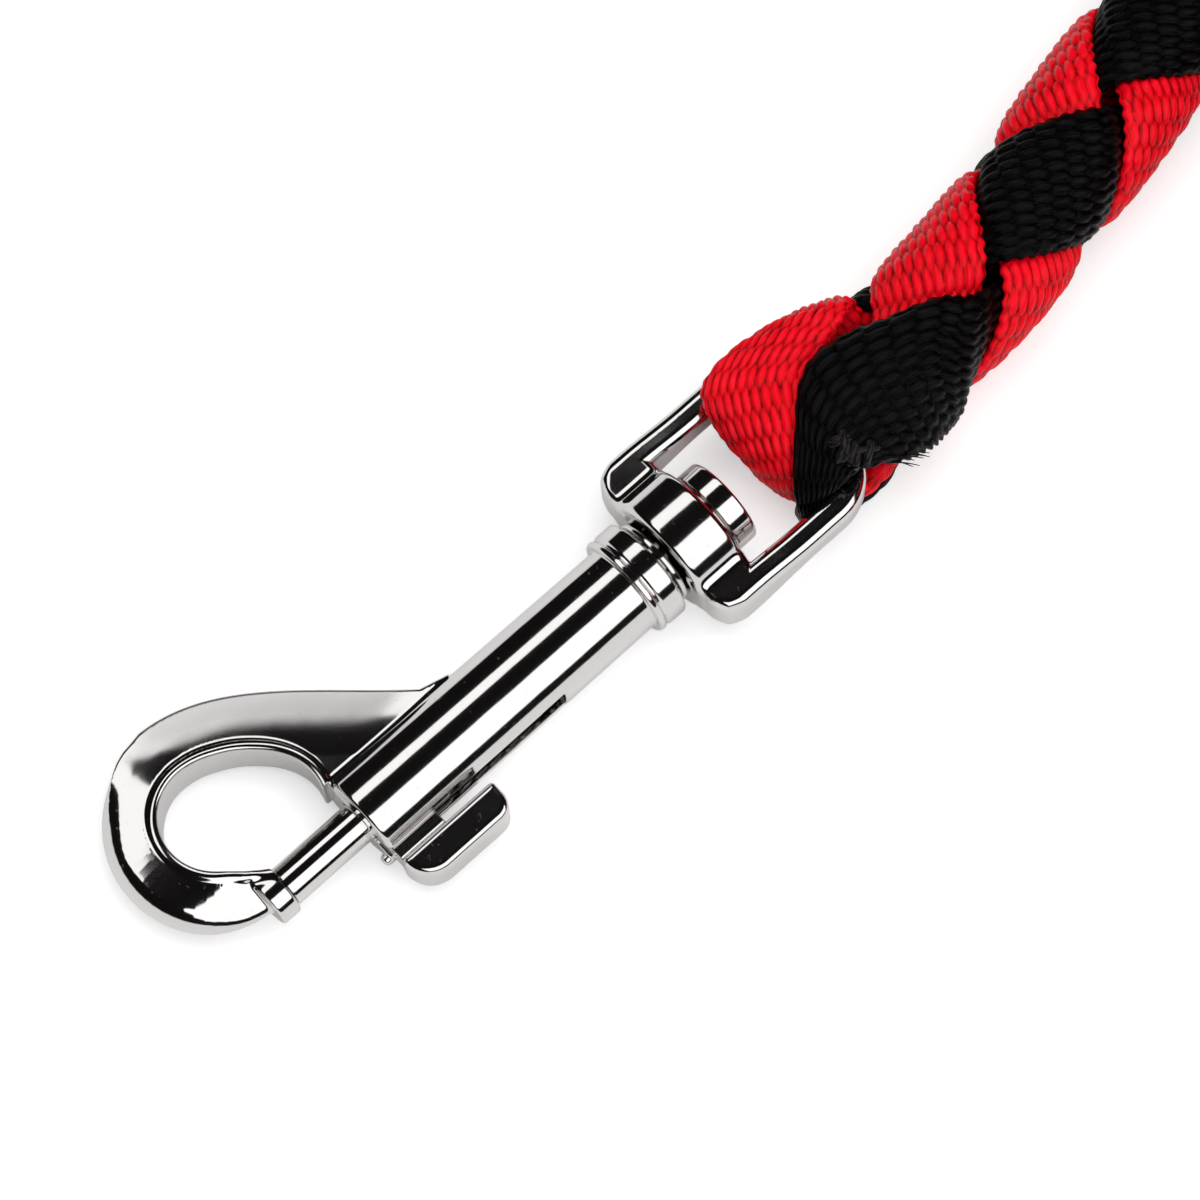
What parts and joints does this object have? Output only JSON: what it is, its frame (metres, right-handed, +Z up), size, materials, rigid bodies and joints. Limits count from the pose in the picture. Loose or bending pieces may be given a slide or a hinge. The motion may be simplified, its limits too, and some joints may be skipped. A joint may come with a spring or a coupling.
{
  "type": "lead rope",
  "caption": "Plaited red and black webbing lead rope with a swivel bolt snap, its free length coiled and tied, for leading a horse.",
  "frame": {"origin": "on the surface the rope lies on, under the centre of the box of the snap, the eye and the folded straps", "axes": "+X from the snap's hook towards the rope, +Y towards the hook's bow, +Z up"},
  "size_m": [0.3817, 0.2467, 0.048],
  "materials": {
    "cast_nickel": "bright nickel plate over a fine casting",
    "turned_nickel": "bright nickel plate, turned",
    "spring_steel": "drawn wire",
    "red_webbing": "ribbed woven webbing",
    "black_webbing": "ribbed woven webbing",
    "black_thread": "bonded sewing thread",
    "tie_strap": "woven strap with a looped pile face"
  },
  "bodies": {
    "rope": {"red_strap_fold": "red_webbing", "black_strap_fold": "black_webbing", "bar_tacks": "black_thread", "rope_run": "red_webbing", "rope_coil": "red_webbing", "end_knot": "red_webbing", "coil_tie": "tie_strap"},
    "eye": {"swivel_eye": "cast_nickel"},
    "snap": {"snap_body": "cast_nickel", "swivel_stud": "turned_nickel", "bolt_spring": "spring_steel"},
    "bolt": {"bolt": "turned_nickel", "thumb_tab": "turned_nickel"}
  },
  "joints": [
    {"name": "eye_swing", "type": "hinge", "parent": "rope", "child": "eye", "pos_m": [0.0422, -0.0058, 0.0088], "axis": [0, 1, 0], "range_deg": [0, 80]},
    {"name": "snap_swivel", "type": "hinge", "parent": "eye", "child": "snap", "pos_m": [0.0422, -0.0058, 0.0088], "axis": [0.999, 0, 0.0444], "continuous": true},
    {"name": "bolt_slide", "type": "slide", "parent": "snap", "child": "bolt", "axis": [0.999, 0, 0.0444], "range_m": [0, 0.0125], "stiffness_N_per_m": 500, "springref_m": -0.006, "deforming": ["bolt_spring"]}
  ]
}
